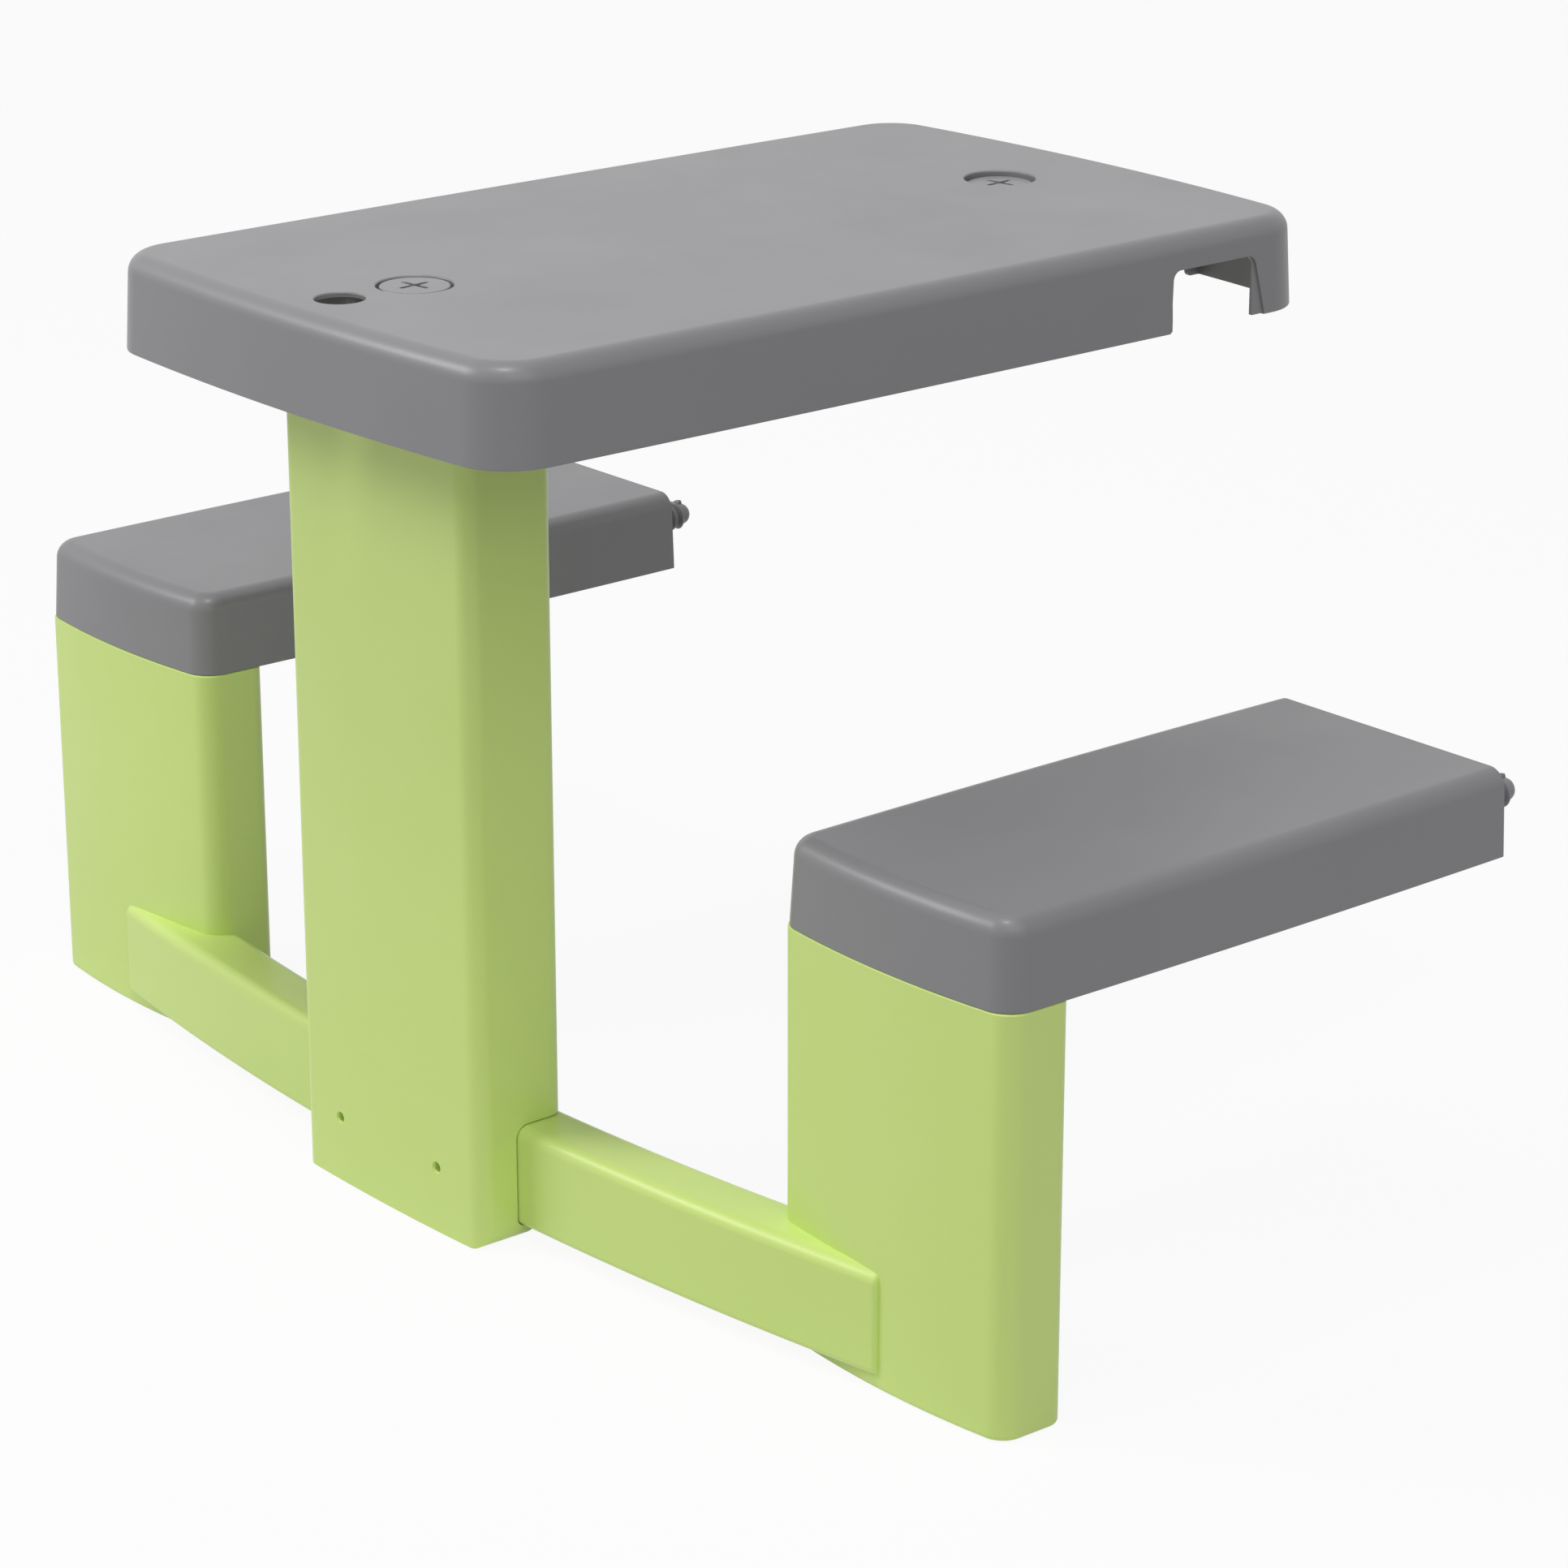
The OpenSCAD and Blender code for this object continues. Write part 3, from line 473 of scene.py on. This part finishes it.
def large_screw(name, head_r, neck, length, place, node):
    """A large screw, its head's seat at the height of zero and its shank downwards, then set in place."""
    rim_z = head_t - head_dome
    tip = [(core_r * math.sin(a), -length + tip_run * (1 - math.cos(a))) for a in quarter_turn]
    edge = [(head_r - head_edge_r * (1 - math.cos(a)), rim_z - head_edge_r * (1 - math.sin(a)))
            for a in quarter_turn]
    crown = [((head_r - head_edge_r) * s, rim_z + head_dome * (1 - s * s)) for s in (0.8, 0.6, 0.4, 0.2, 0)]
    body = tip + [(core_r, -neck - neck_taper), (neck_r, -neck), (neck_r, 0),
                  (head_r - head_seat_edge, 0), (head_r, head_seat_edge)] + edge + crown
    screw = piece_from(turned(body), name)
    ridge = ((root_r, -1.75), (7.3, -1.25), (8.35, -0.8), (crest_r, -0.25),
             (crest_r, 0.25), (8.35, 0.8), (7.3, 1.25), (root_r, 1.75))
    turns = (length - neck - thread_over_tip - thread_under_neck) / pitch
    join_with(screw, "UNION", thread(ridge, -length + thread_over_tip, pitch, turns, 36))
    join_with(screw, "DIFFERENCE", *cross_recess(cross_arm, cross_width, head_t - cross_depth,
                                                 head_t + cross_over, cross_turn))
    set_in(screw, place)
    finish(screw, screw_grey, node, "screw_plastic", node)


large_screw("screw_into_post", table_head_r, post_cup_z - post_top_z, table_shank,
            Matrix.Translation((post_screw_x, 0, post_cup_z)), "table_post_screw")
large_screw("screw_into_wall", table_head_r, sill_cup_z - slot_top_z, table_shank,
            Matrix.Translation((sill_screw_x, 0, sill_cup_z)), "table_sill_screw")


# ---------------------------------------------------------------------------
# Base frame
# One moulding in green polypropylene, closed all round: a low beam, bowed
# outwards, that runs into two broad legs. Each leg carries the outline of the
# seat above it, and a ledge behind it takes the seat's small screws.

green_polypropylene = moulded_plastic("green moulded polypropylene", "#d8f08a", "#d4ec85")
beam_x, beam_depth, beam_low_z, beam_high_z, beam_half = -207.2, 35.2, 8.3, 64.3, 335.8
beam_edge_r, beam_low_r, beam_end_r, outer_arc, house_arc = 7, 4, 2, 2133, 1839
seat = dict(x_low=-177.9, x_high=169.7, half_y=85.25, corner_r=13.3, low_bow=6.35, high_bow=0,
            side_bow=1.9)
seat_y, seat_rim_z, seat_top_z = 336.4, 221.6, 267.8
leg_back_x, leg_corner_r, leg_back_r, leg_foot_r, leg_top_r = -131, 11, 9, 3, 1
leg_short_run, tail_run = 25, 30
ledge_t, ledge_half_y, ledge_run, ledge_root, ledge_corner_r = 5, 55, 26, 3, 5
post_fixing_y, post_fixing_z, seat_fixing_y, seat_fixing_x = 43.8, 37, 42, -118
pilot_r, beam_pilot_end, ledge_hole_r = 1.65, 43.4, 2.05


def beam_bar(name, grow=0, depth=beam_depth, house=house_arc):
    """The beam, bowed along two arcs. Grown by some play and run on towards the house, it is the
    space that the beam needs."""
    low_z, high_z, half = beam_low_z - grow, beam_high_z + grow, beam_half + grow
    bm = bars(((beam_x - grow, -half, low_z), (beam_x + depth, half, high_z)))
    bmesh.ops.subdivide_edges(bm, edges=[e for e in bm.edges if runs(e, 1)], cuts=47, use_grid_fill=True)
    soften(bm, lambda p: p.x < beam_x - grow + 0.1 and p.z > high_z - 0.1, beam_edge_r + grow)
    soften(bm, lambda p: p.x < beam_x - grow + 0.1 and p.z < low_z + 0.1, beam_low_r + grow)
    if not grow:
        soften(bm, lambda p: p.x > beam_x + depth - 0.1 and p.z > high_z - 0.1, beam_edge_r)
        soften(bm, lambda p: p.x > beam_x + depth - 0.1 and p.z < low_z + 0.1, beam_low_r)
        soften(bm, lambda p: abs(p.y) > half - 0.01, beam_end_r, 5)
    for v in bm.verts:
        share = (v.co.x - beam_x) / depth
        sags = [arc - math.sqrt(arc * arc - v.co.y ** 2) for arc in (outer_arc, house)]
        v.co.x += sags[0] + share * (sags[1] - sags[0])
    return piece_from(bm, name)


def cut_off(bm, end_x):
    """Cuts off what lies beyond a place along X, and closes the cut with a flat face."""
    cut = bmesh.ops.bisect_plane(bm, geom=bm.verts[:] + bm.edges[:] + bm.faces[:], plane_co=(end_x, 0, 0),
                                 plane_no=(1, 0, 0), clear_outer=True)
    rim_edges = [e for e in cut["geom_cut"] if isinstance(e, bmesh.types.BMEdge)]
    bmesh.ops.holes_fill(bm, edges=rim_edges, sides=0)


def leg(name, side):
    """A leg: the seat's outline cut off behind, with rounded upright edges and a soft foot."""
    bm = moulding(0, seat_rim_z, **{**seat, "corner_r": leg_corner_r}, tail=tail_run)
    cut_off(bm, leg_back_x)
    # the outline's short steps beside the cut would fold in the bevel of its corners
    short = [e for e in bm.edges if runs(e, 2)
             and leg_back_x - leg_short_run < e.verts[0].co.x < leg_back_x - 0.1]
    bmesh.ops.dissolve_edges(bm, edges=short, use_verts=True)
    round_off(bm, [e for e in bm.edges if min(v.co.x for v in e.verts) > leg_back_x - 0.1 and runs(e, 2)],
              leg_back_r, 12)
    soften(bm, lambda p: p.z < 0.1, leg_foot_r, 5)
    soften(bm, lambda p: p.z > seat_rim_z - 0.1, leg_top_r, 3)
    bmesh.ops.translate(bm, verts=bm.verts[:], vec=(0, side * seat_y, 0))
    return piece_from(bm, name)


def laid(x, y, z, turn):
    """A place for what is made upright on the origin: turned about Y by 90 degrees its top points at
    the house, by -90 away from it, and by 180 down."""
    return Matrix.Translation((x, y, z)) @ Matrix.Rotation(math.radians(turn), 4, "Y")


base_frame = beam_bar("base_frame_moulding")
join_with(base_frame, "UNION", leg("left leg", 1), leg("right leg", -1))
ledges = []
for side in (-1, 1):
    bm = bars(((leg_back_x - ledge_root, side * seat_y - ledge_half_y, seat_rim_z - ledge_t),
               (leg_back_x + ledge_run, side * seat_y + ledge_half_y, seat_rim_z)))
    round_off(bm, [e for e in bm.edges if e.verts[0].co.x > leg_back_x and runs(e, 2)], ledge_corner_r, 6)
    ledges.append(piece_from(bm, "ledge"))
join_with(base_frame, "UNION", *ledges)
pilots = []
for side in (-1, 1):
    pilot = turned(rod(pilot_r, 0, beam_pilot_end),
                   laid(post["x_low"], side * post_fixing_y, post_fixing_z, 90), 16)
    pilots.append(piece_from(pilot, "pilot hole"))
    for y in (side * seat_y - seat_fixing_y, side * seat_y + seat_fixing_y):
        up = Matrix.Translation((seat_fixing_x, y, seat_rim_z - ledge_t - overrun / 2))
        pilots.append(piece_from(turned(rod(ledge_hole_r, 0, ledge_t + overrun), up, 24), "ledge hole"))
join_with(base_frame, "DIFFERENCE", *pilots)
finish(base_frame, green_polypropylene, "table", "green_plastic", "base_frame")


# ---------------------------------------------------------------------------
# Post
# A green moulding, closed all round, that carries the table top. A notch in
# its house side goes round the beam and a toe runs under it, and two small
# screws at its foot, sunk in driver's holes, hold it to the beam.

foot_r, toe_x, toe_r = 8, -196, 4
outline_low_x, outline_high_x = -240, -160
# the notch is wider than the play that the post needs, for the dark line round the beam
notch_play, notch_depth, notch_end_x, notch_half_run = 0.7, 120, -150, 120
post_hole_r, post_hole_depth = 8.85, 38
driver_r, driver_mouth_r, driver_mouth_end, driver_mouth_run, driver_depth = 2.8, 3.4, 2.2, 1.2, 15
post_pilot_end = 40

# Outer shape, kept to an outline seen from the front whose two lower corners are rounded
table_post = piece_from(moulding(0, post_top_z, **post), "table_post_moulding")
bm = bars(((outline_low_x, -post["half_y"], 0), (outline_high_x, post["half_y"], post_top_z)))
for side in (-1, 1):
    soften(bm, lambda p: p.z < 0.1 and side * p.y > 0, foot_r, 10)
join_with(table_post, "INTERSECT", piece_from(bm, "front outline"))

# Notch, the screw's hole in the post's head, and the two driver's holes with their softened mouths
toe_tip = [(toe_x - toe_r + toe_r * math.cos(a), toe_r + toe_r * math.sin(a))
           for a in (math.radians(15 * i - 90) for i in range(13))]
behind_toe = prism([(notch_end_x, -overrun / 2), (toe_x - toe_r, -overrun / 2)] + toe_tip
                   + [(toe_x - toe_r, beam_low_z), (notch_end_x, beam_low_z)], notch_half_run)
holes = [beam_bar("space for the beam", notch_play, notch_depth, outer_arc),
         piece_from(behind_toe, "space behind the toe")]
shank_way = turned(rod(post_hole_r, -post_hole_depth, overrun),
                   Matrix.Translation((post_screw_x, 0, post_top_z)))
holes.append(piece_from(shank_way, "screw's hole"))
mouth = [(driver_r + (driver_mouth_r - driver_r) * (1 - math.sin(a)),
          driver_mouth_end - driver_mouth_run * math.cos(a)) for a in quarter_turn]
driver = ([(0, -overrun), (driver_mouth_r, -overrun)] + mouth + [(driver_r, driver_depth)]
          + [(pilot_r, driver_depth), (pilot_r, post_pilot_end), (0, post_pilot_end)])
for side in (-1, 1):
    way = turned(driver, laid(post["x_low"], side * post_fixing_y, post_fixing_z, 90), 32)
    holes.append(piece_from(way, "driver's hole"))
join_with(table_post, "DIFFERENCE", *holes)
finish(table_post, green_polypropylene, "table", "green_plastic", "table_post")


# ---------------------------------------------------------------------------
# Seats
# Two bench seats moulded in the table top's grey polypropylene: bowed outside,
# cut off square at the house, open below with a grid of ribs. Rings inside the
# flat end and two bosses over the ledge take their screws.

seat_edge_r, seat_draft, seat_wall = 9.7, 1.75, 2.6
seat_rib_pitch, seat_rib_depth, seat_rib_half_run, seat_rib_gap = 52, 14, 85, 6
seat_ring_t, seat_ring_r = 3, 13.75
seat_screw_y, seat_screw_z, seat_hole_depth = 61.2, 247.2, 14
boss_r, boss_pilot_depth = 6.4, 22


def seat_block(name, inset, low_z, end_x):
    """The seat as a solid block, drawn in by an inset and cut off square at the house end."""
    bm = tray(seat, seat_top_z, seat_rim_z, seat_edge_r, seat_draft, inset, low_z, tail_run)
    cut_off(bm, end_x)
    return piece_from(bm, name)


for name, node, side in (("left_seat_moulding", "seat_left", 1), ("right_seat_moulding", "seat_right", -1)):
    bench = seat_block(name, 0, seat_rim_z, wall_x)
    join_with(bench, "DIFFERENCE", seat_block("hollow", seat_wall, seat_rim_z - overrun, wall_x - seat_wall))

    # Ribs, bosses and rings, kept to the inside of the shell
    rib_end_x = wall_x - seat_wall - seat_ring_t - seat_rib_gap
    rib_z = seat_top_z - seat_wall - seat_rib_depth
    roof_z = seat_top_z - seat_wall / 2
    lengthways = bars(*[((seat["x_low"], y - rib_t / 2, rib_z), (rib_end_x, y + rib_t / 2, roof_z))
                        for y in (-seat_rib_pitch, 0, seat_rib_pitch)])
    crossways = bars(*[((x, -seat_rib_half_run, rib_z), (x + rib_t, seat_rib_half_run, roof_z))
                       for x in (seat["x_low"] + seat_rib_pitch * i for i in range(1, 7))])
    ribs = [piece_from(crossways, "ribs")]
    for y in (-seat_fixing_y, seat_fixing_y):
        boss = turned(rod(boss_r, roof_z, seat_rim_z), Matrix.Translation((seat_fixing_x, y, 0)))
        ribs.append(piece_from(boss, "boss"))
    for y in (-seat_screw_y, seat_screw_y):
        ring = turned(rod(seat_ring_r, 0, seat_ring_t + seat_wall / 2),
                      laid(wall_x - seat_wall / 2, y, seat_screw_z, -90))
        ribs.append(piece_from(ring, "ring"))
    grid = piece_from(lengthways, "grid")
    join_with(grid, "UNION", *ribs)
    join_with(grid, "INTERSECT", seat_block("inner shape", seat_wall / 2, seat_rim_z, wall_x - seat_wall / 2))
    join_with(bench, "UNION", grid)

    holes = []
    for y in (-seat_screw_y, seat_screw_y):
        way = turned(rod(shank_hole_r, 0, seat_hole_depth), laid(wall_x + overrun, y, seat_screw_z, -90))
        holes.append(piece_from(way, "screw's hole"))
    for y in (-seat_fixing_y, seat_fixing_y):
        pilot = turned(rod(pilot_r, seat_rim_z - overrun / 2, seat_rim_z + boss_pilot_depth),
                       Matrix.Translation((seat_fixing_x, y, 0)), 16)
        holes.append(piece_from(pilot, "pilot hole"))
    join_with(bench, "DIFFERENCE", *holes)
    bench.data.transform(Matrix.Translation((0, side * seat_y * MM, 0)))
    finish(bench, grey_polypropylene, "table", "grey_plastic", node)


# ---------------------------------------------------------------------------
# Large screws of the seats
# The same moulded screws laid flat, two to a seat: the heads are inside the
# flat end and the coarse threads stand out of it, to go into the wall.

seat_head_r, stud_reach = 16, 28
stud_neck = seat_ring_t + seat_wall

for side, which in ((1, "left"), (-1, "right")):
    for offset, where in ((side * seat_screw_y, "outer"), (-side * seat_screw_y, "inner")):
        large_screw(f"{which}_seat_{where}_stud", seat_head_r, stud_neck, stud_neck + stud_reach,
                    laid(wall_x - seat_wall - seat_ring_t, side * seat_y + offset, seat_screw_z, -90),
                    f"seat_{which}_{where}_screw")


# ---------------------------------------------------------------------------
# Small screws
# Self-tapping screws of zinc-plated steel with a cross recess: two sunk in the
# foot of the post and two under the ledge of each leg.

zinc_plated_steel, tree = blank_material("zinc plated steel")
place = add(tree, "ShaderNodeTexCoord").outputs["Object"]
# rolled and plated surface: faint streaks and clouds 2 mm across
clouds = add(tree, "ShaderNodeTexNoise", {"Vector": place, "Scale": 1 / 0.002, "Detail": 2.0})
polish = add(tree, "ShaderNodeMapRange", {"Value": clouds.outputs["Fac"], "To Min": 0.25, "To Max": 0.42})
plate = add(tree, "ShaderNodeMix", {0: clouds.outputs["Fac"], 6: colour("#c6c8ca"), 7: colour("#b6b8ba")},
            data_type="RGBA")
steel = add(tree, "ShaderNodeBsdfPrincipled", {"Base Color": plate.outputs[2], "Metallic": 1.0,
                                               "Roughness": polish.outputs["Result"]})
add(tree, "ShaderNodeOutputMaterial", {"Surface": steel.outputs[0]})

pan_t, pan_edge = 2.2, 0.4
small_core_r, small_tip_r, small_tip_z, small_tip_run = 1.2, 1.05, 4, 0.5
small_ridge = ((1.0, -0.35), (1.6, 0), (1.0, 0.35))
small_pitch, small_thread_z, small_thread_gap = 1.3, 3.5, 1
small_arm_share, small_slot_width, small_slot_depth, small_slot_over = 1.15, 1.0, 1.3, 1
post_fixing_head_r, post_fixing_length = 2.6, 26
seat_fixing_head_r, seat_fixing_length = 4.2, 22


def small_screw(head_r, length, place):
    """A pan-headed self-tapping screw, its head's seat at the height of zero and its shank downwards."""
    head = [(head_r * math.cos(a), pan_edge + (pan_t - pan_edge) * math.sin(a)) for a in quarter_turn]
    body = [(0, -length), (small_tip_r, -length + small_tip_z),
            (small_core_r, -length + small_tip_z + small_tip_run), (small_core_r, 0), (head_r, 0)] + head
    screw = piece_from(turned(body, steps=32), "small screw")
    turns = (length - small_thread_z - small_thread_gap) / small_pitch
    join_with(screw, "UNION", thread(small_ridge, -length + small_thread_z, small_pitch, turns, 16))
    join_with(screw, "DIFFERENCE", *cross_recess(head_r * small_arm_share, small_slot_width,
                                                 pan_t - small_slot_depth, pan_t + small_slot_over, 0))
    set_in(screw, place)
    return screw


def gathered(name, screws):
    """Screws that are one piece of the list, as one mesh."""
    bm = bmesh.new()
    for screw in screws:
        bm.from_mesh(screw.data)
        bpy.data.objects.remove(screw)
    return object_from(bm, name)


screws = [small_screw(post_fixing_head_r, post_fixing_length,
                      laid(post["x_low"] + driver_depth, y, post_fixing_z, -90))
          for y in (-post_fixing_y, post_fixing_y)]
finish(gathered("post_fixings", screws), zinc_plated_steel, "table", "zinc_steel", "post_fixing_screws")
screws = [small_screw(seat_fixing_head_r, seat_fixing_length,
                      laid(seat_fixing_x, side * seat_y + y, seat_rim_z - ledge_t, 180))
          for side in (-1, 1) for y in (-seat_fixing_y, seat_fixing_y)]
finish(gathered("seat_fixings", screws), zinc_plated_steel, "table", "zinc_steel", "seat_fixing_screws")
